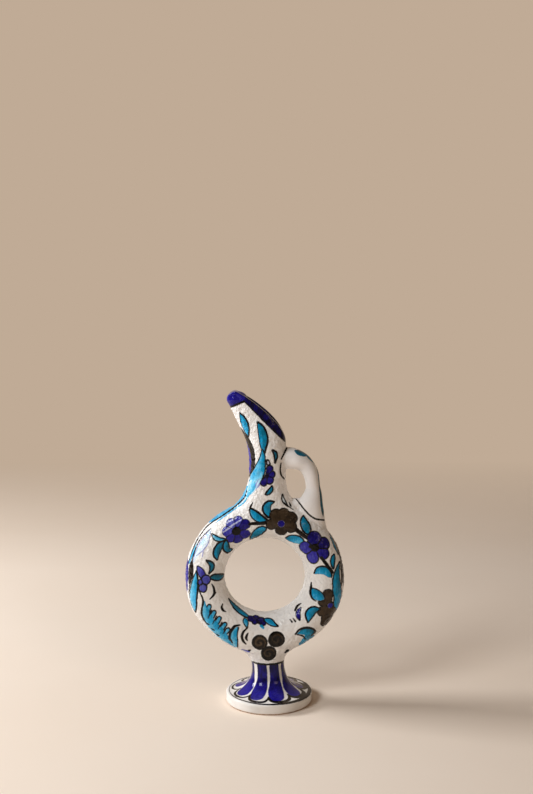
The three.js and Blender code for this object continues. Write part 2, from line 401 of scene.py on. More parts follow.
# %% Mouth
lip_slope, lip_drag, lip_lift = math.radians(28), 19.0, 9.3
beside, above, deep = 45, 215, 30  # clear of the neck on every side
tip_left = neck_span(beak_top - tip_round)[0]
lip_start, lip_end = np.array((neck_back, heel)), np.array((tip_left + tip_round, beak_top))
lip_rise = lip_start + np.array((0, lip_lift))
lip_pull = lip_end + lip_drag * np.array((math.cos(lip_slope), -math.sin(lip_slope)))
lip = [
    lip_start * (1 - s) ** 3 + 3 * lip_rise * s * (1 - s) ** 2
    + 3 * lip_pull * s * s * (1 - s) + lip_end * s**3
    for s in np.linspace(0, 1, 24)
]
lip += [
    np.array((lip_end[0] - tip_round * math.sin(a), beak_top - tip_round * (1 - math.cos(a))))
    for a in np.linspace(0.2, math.pi / 2, 8)
]
around = [(-beside, lip[-1][1]), (-beside, above), (beside, above), (beside, heel)]
boolean(neck, "DIFFERENCE", prism("mouth", [*lip, *around], deep))
print("mouth from", np.round(lip[0], 1), "to", np.round(lip[-1], 1))

# %% [markdown]
# ## Beak tip and handle
# The lip ends in a rounded bead of clay, so a sphere is pressed out a little longer than it is high
# and set into the tip. The handle is a pulled strap: a Bezier curve gives its line, a radius at each
# point gives its thickness, and the mesh made from it is flattened where it spreads on the neck and
# on the ring. A flattened ball of clay fills the crotch under the gap.

# %% Beak tip
bead_middle, bead, bead_stretch = Vector((-17.9, 0, 194.6)) * mm, 5.2, (1.28, 1.25, 1.0)
tip_bead = begin(
    "tip_bead", bpy.ops.mesh.primitive_uv_sphere_add,
    segments=48, ring_count=24, radius=bead * mm, location=bead_middle,
)
bpy.ops.object.mode_set(mode="EDIT")
bpy.ops.transform.resize(value=bead_stretch, center_override=bead_middle)
bpy.ops.object.mode_set(mode="OBJECT")
bpy.ops.object.transform_apply(location=True)
print("tip bead", in_mm(tip_bead.dimensions))

# %% Handle line
handle_reach, handle_thick, handle_deep = 17.0, 8.9, 10.6
root_thick, root_deep, root_blend, landing_out = 14.8, 13.0, 9, 0.8
root = heel - 10.5
grip_x = neck_back + handle_reach
landing_turn = math.radians(47)
landing_x = (ring_outer - tube) * math.cos(landing_turn)
landing_z = ring_height + (ring_outer - tube) * math.sin(landing_turn)
surface = ring_height + ring_outer * math.sin(landing_turn)
grip = (root + surface) / 2 + handle_thick / 4
spread_z = (2 * surface + grip) / 3
handle_line = [  # x, z, thickness
    (neck_back - neck_wall, root, root_thick),
    (neck_back + handle_reach / 4, root - 0.4, 13.6),
    (grip_x - handle_reach / 4, (3 * root + grip) / 4 - 0.4, 10.2),
    (grip_x, grip, handle_thick),
    ((grip_x + 2 * landing_x) / 3 + landing_out, spread_z, 18.4),
    (landing_x + landing_out, landing_z, 26.0),
]
flatness = (0.54, 0.75, 1.19)  # depth over thickness on the ring, where it spreads and at the grip

# %% Handle
handle = begin("handle", bpy.ops.curve.primitive_bezier_curve_add, enter_editmode=True)
bpy.ops.curve.select_all(action="SELECT")
bpy.ops.curve.subdivide(number_cuts=len(handle_line) - 2)
bpy.ops.object.mode_set(mode="OBJECT")
for knot, (x, z, thick) in zip(handle.data.splines[0].bezier_points, handle_line):
    knot.co = Vector((x, 0, z)) * mm
    knot.radius = thick / 2
    knot.handle_left_type = knot.handle_right_type = "AUTO"
handle.data.resolution_u = 16
handle.data.bevel_depth, handle.data.bevel_resolution = mm, 10
handle.data.use_fill_caps = True
pick(handle)
bpy.ops.object.convert(target="MESH")
handle = bpy.context.object
for point in handle.data.vertices:
    x, z = point.co.x / mm, point.co.z / mm
    from_neck = ease(x, neck_back, neck_back + root_blend)
    wide = between(root_deep / root_thick, handle_deep / handle_thick, from_neck)
    point.co.y *= min(wide, np.interp(z, (landing_z, spread_z, grip), flatness))
bpy.ops.object.mode_set(mode="EDIT")
bpy.ops.mesh.select_all(action="SELECT")
bpy.ops.mesh.remove_doubles(threshold=1e-6)
close_up()
print("handle", len(handle.data.polygons), "faces", in_mm(handle.dimensions))

# %% Crotch of the handle
web_half, web_middle = (7.2, 4.8, 5.2), Vector((neck_back + 6.6, 0, heel - 41.2)) * mm
web = begin("handle_web", bpy.ops.mesh.primitive_uv_sphere_add, segments=48, ring_count=24, radius=mm)
bpy.ops.object.mode_set(mode="EDIT")
bpy.ops.transform.resize(value=web_half)
bpy.ops.transform.translate(value=web_middle)
bpy.ops.object.mode_set(mode="OBJECT")
print("handle web", in_mm(web.dimensions))

# %% [markdown]
# ## One clay body
# The potter joins the pieces with wet clay and wipes the joints smooth. Boolean unions join the
# solids, the hollows are cut out, and a voxel remesh turns the whole into one even skin. Smoothing
# that skin softens the joints, the lip and the plinth's edges as a wet sponge does, and a weak
# displacement leaves the unevenness of handwork. The ring and the neck came from a rough mould and
# keep its fine dimples, the foot and the handle are wiped smooth, and the foot's rim stands flat.

# %% Join, hollow and smooth
boolean(neck, "DIFFERENCE", bore)
body = ring
boolean(body, "UNION", foot, neck, tip_bead, handle, web)
well_half, well_heights = neck_depth - neck_wall, (112, 148)
well_sections = [(h, neck_shift - well_half, neck_back - neck_wall, well_half) for h in well_heights]
boolean(body, "DIFFERENCE", loft("well", well_sections), recess)
modify(body, "REMESH", mode="VOXEL", voxel_size=0.45 * mm, use_smooth_shade=True)
modify(body, "SMOOTH", factor=0.5, iterations=14)


def roughen(name, size, strength, depth, **settings):
    """Pushes the skin in and out by a cloudy noise of this size, in mm."""
    clouds = bpy.data.textures.new(name, "CLOUDS")
    clouds.noise_scale, clouds.noise_depth = size * mm, depth
    modify(
        body, "DISPLACE", texture=clouds, texture_coords="LOCAL", strength=strength * mm, mid_level=0.5,
        **settings,
    )


roughen("handwork", size=14, strength=0.5, depth=2)

# %% Where the mould's dimples stay
handle_cut = [  # x, z of the line where the handle joins the neck and the ring
    (13.4, 170), (13.2, 143), (14.2, 138), (17.4, 132.6), (20.4, 128.4), (24.8, 122.4),
    (29.5, 117.8), (35.0, 116.2), (60, 115.6), (60, 170),
]
foot_top, neck_foot = 26.6, 124.0
lip_line, tip_line, tip_slope = 180.6, 200.2, 0.477  # where the band of cobalt starts on lip and tip
spots = np.empty(len(body.data.vertices) * 3)
body.data.vertices.foreach_get("co", spots)
spots = spots.reshape(-1, 3)
x, _, z = spots.T / mm
joint_x, joint_z = zip(*handle_cut[-2:0:-1])
off_handle = (z < joint_z[0]) | (x < np.interp(z, joint_z, joint_x))
off_band = (x + z < lip_line - 0.6) & (z - tip_slope * x < tip_line - 0.8)
group = body.vertex_groups.new(name="stippled")
group.add(np.nonzero((z > foot_top) & off_handle & off_band)[0].tolist(), 1.0, "REPLACE")

# %% Dimples and stand
roughen("dimples", size=1.9, strength=0.68, depth=1, vertex_group="stippled")
body.data.vertices.foreach_get("co", spots.ravel())
spots[spots[:, 2] < 0.3 * mm, 2] = 0
body.data.vertices.foreach_set("co", spots.ravel())
boolean(body, "DIFFERENCE", ring_hollow)
body.name = "clay_body"
print("clay body", len(body.data.polygons), "faces", in_mm(body.dimensions))
clay = BVHTree.FromObject(body, bpy.context.evaluated_depsgraph_get())

# %% [markdown]
# ## Five pieces
# The record keeps the foot, the two halves of the ring, the neck and the handle apart, so the body is
# cut at the same joints. Cutting the finished skin keeps the surface running on across each joint.


# %% Helpers for the joints
def block(name, low, high):
    """A plain cutting block between two corners in mm."""
    low, high = Vector(low), Vector(high)
    made = begin(name, bpy.ops.mesh.primitive_cube_add, size=1, location=(low + high) / 2 * mm)
    made.scale = (high - low) * mm
    bpy.ops.object.transform_apply(location=True, scale=True)
    return made


def take(name, cutter):
    """Cuts off the part of the body inside the cutter as a piece of its own."""
    pick(body)
    bpy.ops.object.duplicate()
    piece = bpy.context.object
    piece.name = name
    spare = cutter.copy()
    spare.data = cutter.data.copy()
    bpy.context.collection.objects.link(spare)
    boolean(piece, "INTERSECT", spare)
    boolean(body, "DIFFERENCE", cutter)
    return piece


# %% Cut the body
pieces = {
    "handle_loop": take("handle_loop", prism("handle_block", handle_cut, 40)),
    "foot_pedestal": take("foot_pedestal", block("foot_block", (-60, -60, -5), (60, 60, foot_top))),
    "neck_beak": take("neck_beak", block("neck_block", (-70, -60, neck_foot), (70, 60, 230))),
    "ring_front": take("ring_front", block("front_block", (-70, -60, 20), (70, 0, 140))),
    "ring_back": body,
}
body.name = "ring_back"
stands_for = {
    "handle_loop": ("handle", "plain_glaze"),
    "foot_pedestal": ("pedestal_foot", "painted_foot"),
    "neck_beak": ("neck_spout", "painted_neck"),
    "ring_front": ("ring_front_shell", "painted_body"),
    "ring_back": ("ring_back_shell", "painted_body"),
}
for name, piece in pieces.items():
    pick(piece)
    bpy.ops.object.shade_smooth_by_angle(angle=math.radians(40))
    node, slot = stands_for[name]
    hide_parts(node)
    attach(piece, "root")
    print(name, len(piece.data.polygons), "faces", in_mm(piece.dimensions))

# %% [markdown]
# ## Brushes
# The painter works on the fired clay with three colours: turquoise, cobalt and a brown-black line.
# Every dab is kept here as a line of points with a width at each, seen from the front as the camera
# sees it, and landed on the clay along the line of sight. For each vertex the script works out how
# far it lies inside or outside each dab, in millimetres. A distance stays exact between vertices, so
# the material can draw a crisp edge from it. The back is painted as the front is, mirrored.


# %% Smooth lines
def glide(points, finer=7):
    """A smooth line through given points, every column carried along."""
    p = np.array(points, float)
    if len(p) == 1:
        return p
    p = np.vstack([2 * p[0] - p[1], p, 2 * p[-1] - p[-2]])
    s = np.linspace(0, 1, finer, endpoint=False)[:, None]
    runs = [
        0.5 * (2 * b + (c - a) * s + (2 * a - 5 * b + 4 * c - d) * s**2 + (3 * b - a - 3 * c + d) * s**3)
        for a, b, c, d in zip(p, p[1:], p[2:], p[3:])
    ]
    return np.vstack([*runs, p[-2:-1]])


def across(points):
    """A smooth line through (x, z, width) points, with the step from its middle to its left edge."""
    path = glide(points)
    way = np.gradient(path[:, :2], axis=0) if len(path) > 1 else np.array([(1.0, 0.0)])
    way /= np.linalg.norm(way, axis=1)[:, None]
    return [(x, z, width, -tz * width / 2, tx * width / 2) for (x, z, width), (tx, tz) in zip(path, way)]


# %% Land a line on the clay
most_stretch = 4  # how much wider a dab may get where the clay turns away


def land(x, z):
    """The spot on the clay seen at (x, z) on the ring's plane, or the nearest one on the outline."""
    aim = Vector((x, 0, z)) * mm
    look = (aim - eye).normalized()
    hit = clay.ray_cast(eye, look)[0]
    if hit is None:  # past the outline: try spots before and behind the ring's plane
        tries = [clay.find_nearest(aim + look * step * mm) for step in (-9, -6, -3, 0, 3)]
        hit = min(tries, key=lambda found: found[3])[0]
    return hit / mm


def seen(points):
    """(x, z, width) on the ring's plane, as the camera sees it, to (x, y, z, width) on the clay."""
    landed = []
    for x, z, width, dx, dz in across(points):
        left, right = land(x + dx, z + dz), land(x - dx, z - dz)
        middle = clay.find_nearest((left + right) / 2 * mm)[0] / mm
        landed.append((*middle, min((left - right).length, most_stretch * width)))
    if len(landed) == 1:  # a round dot, stretched as far as the clay turns away
        low, high = land(x, z - width / 2), land(x, z + width / 2)
        left, right = land(x - width / 2, z), land(x + width / 2, z)
        wide, tall = right - left, high - low
        long, short = (wide, tall.length) if wide.length > tall.length else (tall, wide.length)
        reach = long * (1 - short / long.length) / 2
        landed = [(*(middle - reach), short), (*(middle + reach), short)]
    return np.array(landed)


def rim_line(points):
    """(x, z, width) along the outline of the pot, wrapped round behind it by as much again."""
    landed = []
    for x, z, _, dx, dz in across(points):
        sides = land(x + 2 * dx, z + 2 * dz), land(x - 2 * dx, z - 2 * dz)
        inner, outer = sorted(sides, key=lambda spot: spot.y)
        landed.append((*outer, 2 * (inner - outer).length))
    return np.array(landed)


def foot_line(points):
    """(degrees round the foot from its front, share up the bell, width). Above 1 is the stem."""
    landed = []
    for around, share, width in glide(points):
        height, radius = foot_bell(min(share, 1))
        height += max(0, share - 1) * waist
        a = math.radians(around)
        aim = Vector((foot_middle(height) + radius * math.sin(a), -radius * math.cos(a), height)) * mm
        landed.append((*(clay.find_nearest(aim)[0] / mm), max(width, 0.05)))
    return np.array(landed)


# %% Dabs
dabs = []


def dab(colour, lines, edge=(0, 0), tone=(0.5, 0.5), lean=0.0, over=True, swirl=0.0, seam=0.0):
    """One touch of the brush, or all petals of a blossom. tone is the density at a line's start and
    end, and edge the dark outline on the left and right of the way it was drawn."""
    lines = lines if isinstance(lines, list) else [lines]
    dabs.append(dict(
        colour=colour, lines=lines, edge=edge, tones=np.reshape(tone, (-1, 2)),
        lean=lean, over=over, swirl=swirl, seam=seam,
    ))


def leaf(points, edge=(0.8, 1.2), tone=(0.75, 0.4), lean=0.15, colour="turquoise"):
    """A brush leaf, denser on one side."""
    dab(colour, seen(points), edge, tone, lean)


def line(points, tone=0.95):
    """A dark line, which covers nothing else."""
    dab("black", seen(points), tone=(tone, tone), over=False)


def strokes(tone, *lines):
    """Thin strokes or dots of cobalt."""
    for points in lines:
        dab("cobalt", seen(points), tone=tone)


def rim(colour, points, tone, edge=(0, 0)):
    """A stroke on the outline of the pot, which runs on round its edge."""
    dab(colour, rim_line(points), edge, tone)


def blossom(heart, petals, colour="cobalt", seam=0.5, outline=0.6):
    """Petals, (x, z, diameter, tone), grown out of a heart, with dark lines round and between them."""
    middle = np.mean([p[:2] for p in petals], axis=0) if heart is None else heart[:2]
    root_share = 0.35 if heart else 0.8
    grown = [seen([(*middle, p[2] * root_share), p[:3]]) for p in petals]
    dab(colour, grown, (outline, outline), [(p[3], p[3]) for p in petals], seam=seam)
    if heart:
        line([heart])


# %% [markdown]
# ## The painting
# The motifs are the usual ones of blue and white floral ware: blossoms of five to seven petals,
# pointed leaves, buds, brush commas and a group of three round swirls. They follow the pot from the
# neck, round the ring and down to the foot. A point is (x, z, width) in millimetres, and the dark
# edges and the densities come after the points.

# %% Neck motifs
# two leaves under the lip
leaf([
    (-16.2, 185.6, 0.3), (-14.4, 182.1, 3.2), (-13, 178.6, 4.1), (-12, 175.1, 3.2), (-10.8, 171, 0.4),
], (1.4, 0.7), (0.46, 0.44))
leaf([
    (-5.2, 180.1, 0.3), (-3.1, 176.4, 3.8), (-1.7, 171.8, 5.4), (-1.3, 167.7, 5.2), (-1.3, 163.7, 3.2),
    (-0.7, 160.1, 0.5),
], (1.4, 0.7), (0.62, 0.5))
# ribbon down to the shoulder, with its veins
leaf([
    (-2.1, 162.4, 0.7), (-1.8, 158.8, 2.8), (-2.4, 154.6, 4.6), (-3.5, 150.3, 6.6), (-5, 146.1, 7.8),
    (-6.6, 142.6, 7.4),
], (0.9, 0.9), (0.5, 0.28))
dab("turquoise", seen([
    (-5, 146.4, 6), (-6.6, 142.4, 6.2), (-8.8, 138.4, 5.4), (-11, 135.2, 3),
]), tone=(0.28, 0.12), lean=-0.12)
line([(-1.1, 146.4, 0.8), (-2.3, 143, 0.9), (-3.8, 140.6, 0.5)])
strokes(
    (0.2, 0.12), [(-2.6, 142.2, 0.3), (-4.3, 139.6, 0.9), (-6, 137.2, 0.3)],
    [(-4.4, 143.4, 0.2), (-6.4, 139.6, 0.5), (-8.2, 136.8, 0.2)],
)
# dark patch on the front edge, with a strip of cobalt
rim("black", [
    (-17, 177.4, 0.1), (-14, 170.6, 2.2), (-12.4, 166.6, 3.0), (-11.1, 162, 3.4), (-10.3, 157.3, 3.2),
    (-10.1, 153.8, 2.2), (-10.2, 149.4, 0.1),
], (0.7, 0.6), (0.9, 0.9))
rim("cobalt", [
    (-12.9, 168.4, 0.1), (-11.6, 164, 0.8), (-10.4, 158, 1.1), (-10.1, 153, 0.9), (-10.2, 148.6, 0.1),
], (0.4, 0.5))
# bunch of petals and its bud
blossom(None, [
    (2.6, 150.4, 4.2, 0.76), (3.5, 146.6, 5, 0.66), (2.4, 143.2, 5.4, 0.6), (-1.2, 141.2, 4.2, 0.72),
], seam=0.4, outline=0.8)
line([(1.3, 155.3, 2.4), (1.9, 153.3, 2.8)])
strokes((0.0, 0.0), [(1.5, 154.9, 0.9), (1.7, 153.7, 1.1)])
# small leaves
leaf([(4.4, 162, 0.6), (6, 160.3, 2), (6.5, 158.1, 2), (6, 154.2, 0.4)], (1.3, 1.3), (0.7, 0.7))
leaf([(4.1, 139.1, 0.4), (3.4, 136.8, 2.5), (1.6, 134.7, 2.4), (0, 134, 0.6)], (0.9, 1.3), (0.5, 0.6))
dab("turquoise", seen([
    (10.8, 133.4, 0.6), (11, 131.1, 1.7), (12, 129, 1.7), (13.8, 126.7, 0.6),
]), (1.0, 1.2), (-0.2, -0.2))
# lines round the roots of the handle
line([(11.8, 128.6, 0.4), (14.6, 126.1, 0.7), (17.5, 124.1, 0.4)])
line([(14.8, 129, 0.4), (15.8, 126.8, 1.1)])
line([(13.4, 163.7, 0.8), (11.8, 160.3, 1.1), (10, 156.7, 0.8)])
line([(9.7, 153.5, 0.7), (9.3, 149.6, 0.9), (10, 146.1, 0.9), (11.9, 143.8, 0.6)])
line([
    (19.2, 131.1, 0.6), (21.7, 127.9, 0.8), (25.2, 123.4, 0.9), (28.7, 119.9, 0.9), (32.2, 118, 1),
    (37.2, 117.3, 1),
])
# touches on the handle
leaf([(19.1, 161.7, 1.2), (21, 160.5, 3), (23, 160, 3), (24.4, 159.9, 1)], (0, 0), (0.85, 0.8))
leaf([(25.4, 159.8, 1), (27.5, 158.2, 2.6), (29.8, 156.2, 2.6), (31.6, 153.4, 0.6)], (0, 0), (0.9, 0.9))
rim("turquoise", [
    (31.4, 154.6, 0.2), (33.4, 148.8, 0.7), (34.3, 142, 0.8), (34.9, 134, 0.7), (35.6, 125.6, 0.6),
    (36.4, 119.8, 0.1),
], (1.0, 0.9))
print(len(dabs), "dabs with the neck")

# %% Shoulder and rim, left
# band and line along the shoulder
rim("turquoise", [
    (-11.4, 137, 0.4), (-12.9, 133.7, 1.2), (-17.5, 129.3, 1.3), (-25.6, 123.2, 1.2), (-29.4, 120.4, 1.0),
    (-31.6, 118.8, 0.7), (-33.8, 117, 0.1),
], (0.3, 0.38))
leaf([
    (-8.6, 139.6, 4.4), (-10.4, 135.6, 2.6), (-12, 131.6, 1.2), (-13.9, 128.7, 1.0), (-17.3, 126.1, 0.9),
    (-20.8, 123.7, 0.9), (-25.4, 120.3, 0.9), (-28.9, 117.8, 0.8), (-31.2, 115.9, 0.3),
], (0, 0), (0.2, 0.35))
line([
    (-11.8, 136.4, 0.5), (-12.8, 132.9, 0.8), (-14.5, 130.5, 0.9), (-19.6, 125.8, 0.9), (-26.6, 120.7, 0.9),
    (-30.4, 118.2, 0.8), (-33.4, 116.4, 0.7),
])
line([
    (-33, 116.6, 0.7), (-37.3, 113.1, 0.7), (-40.5, 108.8, 0.7), (-43.8, 103.8, 0.7), (-46.3, 98, 0.7),
    (-48.2, 92.2, 0.7), (-49.6, 87.9, 0.5),
])
# pale leaf with cobalt veins
dab("turquoise", seen([
    (-34.7, 111.1, 0.3), (-37, 105.9, 3.2), (-39.5, 101.6, 4.2), (-42, 98, 3.5), (-44.2, 94.4, 2.5),
    (-45.6, 90.1, 0.6),
]), tone=(0.03, 0.0), lean=-0.05)
strokes(
    (0.1, 0.16), [(-34.7, 110.2, 0.2), (-36.3, 103, 0.4), (-39.6, 98, 0.5), (-43.8, 94.4, 0.3)],
    [(-35.1, 111.3, 0.2), (-39.3, 106.2, 0.4), (-42.4, 101.4, 0.4), (-44.9, 95.8, 0.3), (-46, 90.4, 0.2)],
    [(-39.4, 97.8, 0.3), (-39.9, 95.6, 0.5), (-40.3, 93.3, 0.2)],
)
# narrow leaf and line on the edge
leaf([
    (-42.7, 103.2, 0.4), (-44.8, 99.4, 1.0), (-46.6, 95.1, 1.1), (-47.9, 91.5, 0.9), (-48.8, 89, 0.3),
], (0, 0), (0.3, 0.42))
line([
    (-34.9, 111.8, 0.4), (-38.8, 108.1, 0.6), (-42.2, 103.8, 0.7), (-44.5, 98.7, 0.7), (-45.9, 94.4, 0.7),
    (-47, 90.6, 0.6),
])
# dark patch and blue strip on the edge
dab("black", seen([
    (-46.5, 92.2, 0.5), (-47.2, 87.9, 2.4), (-47.5, 83.6, 3.2), (-47.9, 79.9, 2.6), (-48.8, 76.2, 0.6),
]), tone=(0.8, 0.7))
rim("cobalt", [
    (-49.9, 90.4, 0.3), (-50.5, 87.2, 1.3), (-50.9, 82.8, 1.6), (-51, 79.2, 1.5), (-50.7, 74.6, 0.3),
], (0.55, 0.55))
print(len(dabs), "dabs with the shoulder")

# %% Ring motifs, top
# left blossom, with pale streaks that are painted highlights of the glaze
blossom((-18.5, 110.3, 5.6), [
    (-21.8, 115.2, 6.8, 0.28), (-17.4, 116.9, 6.2, 0.34), (-12.9, 114.6, 6.6, 0.72),
    (-13.2, 108.2, 6.4, 0.6), (-17.4, 105, 6.8, 0.55), (-22, 105.8, 5.8, 0.48), (-24.1, 110, 7, 0.34),
], seam=0.4, outline=0.4)
# painted highlights: near-white cobalt streaks where the glaze would shine
strokes(
    (0.05, 0.05), [(-23.8, 112.2, 0.2), (-19.7, 114.9, 0.3), (-15.5, 117.5, 0.2)],
    [(-24.3, 115.6, 0.2), (-21.1, 117.6, 0.3), (-18.9, 118.6, 0.2)],
    [(-26.9, 109.5, 0.2), (-24, 111.5, 0.3), (-21.8, 112.7, 0.2)],
)
# stem and leaves
line([(-10, 114.9, 1.8), (-5.3, 115.2, 2.2), (-0.1, 115.5, 2.4)], tone=0.8)
line([(-10.6, 123.4, 0.5), (-9.6, 125.8, 1.2), (-8.2, 128.6, 0.5)], tone=0.6)
leaf([(-9.6, 124.7, 0.5), (-7.5, 121.5, 4.6), (-4.1, 118.6, 5), (0.5, 117.2, 1.2)], (1.5, 0.9), (0.4, 0.6))
leaf([
    (5.1, 128.8, 0.8), (2.1, 127.9, 3.4), (0.6, 124.7, 5), (2.1, 120.9, 3.4), (2.9, 119.7, 0.8),
], (0.8, 1.6), (0.6, 0.5))
leaf([
    (0.4, 112.3, 0.8), (-2.9, 110.9, 4.4), (-5.9, 108.6, 4.2), (-9, 105.2, 0.5),
], (1.0, 1.0), (0.45, 0.75))
# dark blossom with a blue heart, stem and leaves
blossom((9.9, 115, 6), [
    (6.7, 120.4, 8.4, 0.46), (11.6, 121.4, 7.4, 0.4), (16.2, 119, 8.2, 0.52), (16, 113, 7.8, 0.44),
    (9.8, 110.8, 7.4, 0.52), (3.8, 114.6, 7, 0.42),
], "black", seam=0, outline=0.5)
strokes((0.22, 0.22), [(9.9, 115, 4.4)])
strokes((0.72, 0.72), [(10, 115, 3.8)])
line([(18.5, 111.8, 2.8), (22.6, 108.6, 2.6), (26.6, 105.7, 2.2)], tone=0.8)
leaf([(24, 120, 0.4), (24.4, 116.2, 4.4), (26, 112.1, 5.4), (27.5, 108.3, 1.2)], (1.2, 1.2), (0.55, 0.7))
leaf([(13, 105.4, 0.6), (16.8, 105.4, 4.4), (20.8, 104.5, 4.6), (24.2, 103, 1.4)], (1.0, 0), (0.6, 0.3))
# right blossom
blossom((31.4, 99.5, 5.3), [
    (30.9, 105.4, 9.2, 0.74), (37.3, 102.3, 8.2, 0.78), (36.7, 95.8, 7.6, 0.62), (30.1, 93.4, 8, 0.42),
    (25.6, 99.6, 8, 0.4),
], seam=0.7, outline=0.8)
line([(31.4, 99.6, 4.4), (28.2, 100.3, 1.8)])
print(len(dabs), "dabs with the top of the ring")

# %% Ring motifs, left
# leaves
leaf([
    (-34, 108.2, 0.8), (-31.8, 105.8, 2.8), (-28.9, 104.8, 2.4), (-25.5, 105, 0.6),
], (1.0, 1.0), (0.25, 0.35))
leaf([
    (-26.5, 103.7, 0.6), (-29.1, 100.7, 3.8), (-30.9, 97.1, 4.4), (-31.3, 94.3, 3), (-30.7, 92, 0.8),
], (0.8, 1.4), (0.75, 0.5))
leaf([
    (-24.8, 104.3, 0.8), (-25.2, 100.9, 3.8), (-24.2, 98, 3.4), (-21.3, 98.2, 0.6),
], (1.0, 1.3), (0.5, 0.75))
leaf([
    (-37.6, 91.1, 0.6), (-34.8, 89.1, 2.8), (-34.1, 86.5, 2.6), (-35.9, 82.8, 0.5),
], (1.2, 1.1), (0.75, 0.7))
leaf([
    (-35.4, 80.1, 0.8), (-32.5, 80.3, 3.8), (-29.6, 80.3, 3.8), (-26.5, 81.5, 0.5),
], (1.1, 1.1), (0.7, 0.75))
# bunch of petals and its comma
leaf([(-43, 86.8, 1.6), (-41.4, 84, 4.2), (-40, 81.4, 4.2)], (0.8, 1.0), (0.26, 0.36), 0.1, "cobalt")
blossom(None, [(-38, 78.8, 5.8, 0.3), (-41, 76.8, 4.4, 0.36), (-40, 73.2, 5.2, 0.3)], seam=0.5, outline=0.9)
line([(-34.2, 75.8, 0.7), (-32.9, 72.8, 1.4), (-32.9, 69.3, 1.5), (-35.6, 65.9, 0.7)])
line([(-32.9, 69, 1.3), (-31.9, 70.2, 0.6)])
# long leaf on the edge
leaf([
    (-44.1, 84.3, 0.4), (-44.8, 78.5, 3.2), (-45.6, 72.7, 4.5), (-46.2, 67.6, 4.3), (-46, 63.2, 3.2),
    (-45.2, 58.4, 0.7),
], (1.5, 0.8), (0.4, 0.25))
line([(-46.4, 81, 0.4), (-48.4, 75, 0.6), (-49, 70.5, 0.4)])
print(len(dabs), "dabs with the left of the ring")

# %% Ring motifs, serrated leaf
# teeth, the leaf over their roots, and the nicks between them
for base, tip in (
    ((-37.7, 57), (-36, 61.2)), ((-35, 53.4), (-32.9, 57.3)), ((-31.7, 49.9), (-29.6, 53.4)),
    ((-28.5, 46.3), (-26.1, 49.4)), ((-26.4, 43.4), (-24.1, 45.8)),
):
    leaf([(*base, 3.2), (*tip, 2.6)], (1.0, 1.0), (0.36, 0.34), 0)
leaf([
    (-39.2, 64.4, 0.7), (-38.6, 59.6, 3), (-37.4, 54.5, 5), (-34, 49.4, 6), (-30.2, 45, 5.6),
    (-26, 40.6, 4.4), (-22.6, 37.4, 2.6), (-19.9, 34.9, 0.8),
], (0, 0), (0.33, 0.4))
for nick in (
    [(-34.4, 58.8, 0.6), (-35.5, 56.6, 0.8), (-36.8, 53.4, 0.4)],
    [(-31.3, 54.8, 0.6), (-32.4, 52.7, 0.8), (-33.9, 49.7, 0.4)],
    [(-27.9, 50.8, 0.6), (-29, 48.8, 0.8), (-30.5, 46.2, 0.4)],
    [(-25.1, 46.8, 0.6), (-26.1, 45.1, 0.8), (-27.4, 43, 0.4)],
):
    line(nick)
# stalk, and short strokes below the leaf
line([
    (-42.4, 71.2, 0.6), (-40.4, 66.9, 1), (-39.9, 64, 1.2), (-40.6, 60.3, 1.2), (-40.9, 56.7, 1.2),
    (-39.8, 53, 1), (-37.7, 50.1, 0.7),
])
for x, z in ((-37.1, 49.7), (-33.7, 46), (-30.6, 42.4)):
    line([(x - 1, z + 0.6, 0.4), (x, z, 0.9), (x + 1, z - 0.5, 0.4)])
# leaf and commas beside it
leaf([(-18.2, 46.9, 1.6), (-20.3, 43, 4.4), (-20.4, 39.4, 4.6), (-18.9, 34.9, 1.2)], (0.9, 0), (0.36, 0.25))
line([(-16.4, 49, 0.7), (-19.9, 48.1, 1.6), (-22.4, 44.2, 1.7), (-23.1, 40.6, 1.5), (-21.4, 37.3, 0.8)])
line([(-27.5, 62.8, 0.7), (-28.1, 60.6, 1.4), (-27.1, 58.6, 1.4), (-25.3, 57.7, 0.6)])
print(len(dabs), "dabs with the serrated leaf")

# %% Ring motifs, bottom
# slim leaf and bunch of petals
leaf([
    (-23.4, 66.2, 0.4), (-20.7, 62.4, 1.9), (-17.2, 58.8, 2.7), (-13.7, 56.1, 2.5), (-10.8, 54.2, 1.2),
], (0.9, 1.2), (0.8, 0.5))
blossom(None, [
    (-9.4, 53.2, 3.8, 0.86), (-6, 53.6, 4.2, 0.92), (-2.8, 52, 4.2, 0.88), (-7, 51, 3.2, 0.84),
    (-1.4, 50.2, 3.2, 0.94),
], seam=0.2, outline=0.7)
leaf([(-13.3, 53.2, 1), (-12.7, 51.1, 3.2), (-12, 48.1, 1.2)], (0.7, 0.8), (0.45, 0.35))
leaf([(-0.1, 52.6, 1.6), (2.5, 51.4, 4), (4.9, 49.6, 2.8), (7.8, 48.2, 0.6)], (1.1, 0.9), (0.45, 0.55))
leaf([(-2.7, 48.4, 2), (-1.6, 47.2, 1.6)], (0, 0), (0.5, 0.4))
# commas
line([(-11.6, 47.2, 0.8), (-14.3, 44.3, 1.5), (-15.1, 41.2, 1.6), (-14.2, 38.2, 1.4), (-12.6, 36.4, 0.7)])
line([(-11.3, 43.6, 0.7), (-12.5, 40.7, 1.7), (-11.7, 38.7, 0.6)])
# three swirls
for x, z, wide, dark in ((-3.9, 37.7, 9.3, 0.52), (6.9, 39.6, 9.8, 0.7), (2.0, 30.3, 9.0, 0.62)):
    dab("black", seen([(x, z, wide)]), (1.0, 1.0), (dark, dark), swirl=0.24)
    line([(x, z, 1.8)], tone=0.8)
# touches beside the cup
leaf([(-14.8, 32.8, 0.5), (-12.6, 32, 1.1), (-10.4, 31.3, 0.8)], (0, 0), (0.2, 0.26), colour="cobalt")
line([(-10.8, 32.1, 1.3), (-9.9, 32.4, 0.9)])
line([(12.9, 31.2, 1.1), (13.8, 31.9, 1.7), (14.6, 32.4, 0.9)])
print(len(dabs), "dabs with the bottom of the ring")

